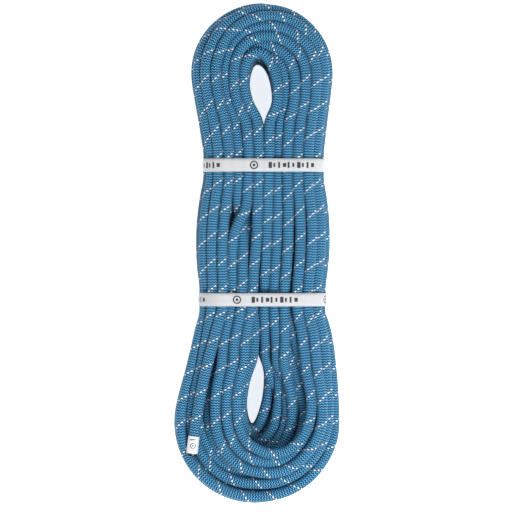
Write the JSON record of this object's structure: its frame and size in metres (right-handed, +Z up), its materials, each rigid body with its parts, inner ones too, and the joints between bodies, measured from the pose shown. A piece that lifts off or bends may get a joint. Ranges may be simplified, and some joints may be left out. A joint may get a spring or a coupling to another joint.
{
  "type": "dynamic climbing rope",
  "caption": "Kernmantle climbing rope packed as a bound hank with an eye at each end, two sliding paper bands and two labelled, sealed rope ends.",
  "frame": {"origin": "bottom centre of the bounding box, on the floor under the lying hank", "axes": "+Y runs along the hank to the upper crown, +X to the right seen from above, +Z up from the floor"},
  "size_m": [0.152, 0.46, 0.105],
  "materials": {
    "rope_sheath": "braided polyamide yarn, light and dark blue",
    "core_yarn": "white twisted polyamide",
    "core_marker": "coloured marker yarn",
    "end_label": "shrink sleeve, satin",
    "end_seal": "melted polyamide",
    "paper_band": "coated paper, satin",
    "band_glue": "dried adhesive"
  },
  "bodies": {
    "rope": {"rope_hank": "rope_sheath", "back_core_marker": "core_marker", "back_core_strand_01": "core_yarn", "back_core_strand_02": "core_yarn", "back_core_strand_03": "core_yarn", "back_core_strand_04": "core_yarn", "back_core_strand_05": "core_yarn", "back_core_strand_06": "core_yarn", "back_core_strand_07": "core_yarn", "back_core_strand_08": "core_yarn", "back_core_strand_09": "core_yarn", "back_core_strand_10": "core_yarn", "back_core_strand_11": "core_yarn", "back_core_strand_12": "core_yarn", "back_core_strand_13": "core_yarn", "back_core_strand_14": "core_yarn", "back_end_label": "end_label", "back_end_seal": "end_seal", "back_end_sheath": "rope_sheath", "front_core_marker": "core_marker", "front_core_strand_01": "core_yarn", "front_core_strand_02": "core_yarn", "front_core_strand_03": "core_yarn", "front_core_strand_04": "core_yarn", "front_core_strand_05": "core_yarn", "front_core_strand_06": "core_yarn", "front_core_strand_07": "core_yarn", "front_core_strand_08": "core_yarn", "front_core_strand_09": "core_yarn", "front_core_strand_10": "core_yarn", "front_core_strand_11": "core_yarn", "front_core_strand_12": "core_yarn", "front_core_strand_13": "core_yarn", "front_core_strand_14": "core_yarn", "front_end_label": "end_label", "front_end_seal": "end_seal", "front_end_sheath": "rope_sheath"},
    "upper_band": {"upper_band": "paper_band", "upper_band_glue": "band_glue"},
    "lower_band": {"lower_band": "paper_band", "lower_band_glue": "band_glue"}
  },
  "joints": [
    {"name": "upper_band_slide", "type": "slide", "parent": "rope", "child": "upper_band", "axis": [0, 1, 0], "range_m": [-0.006, 0.006]},
    {"name": "lower_band_slide", "type": "slide", "parent": "rope", "child": "lower_band", "axis": [0, 1, 0], "range_m": [-0.006, 0.006]}
  ]
}
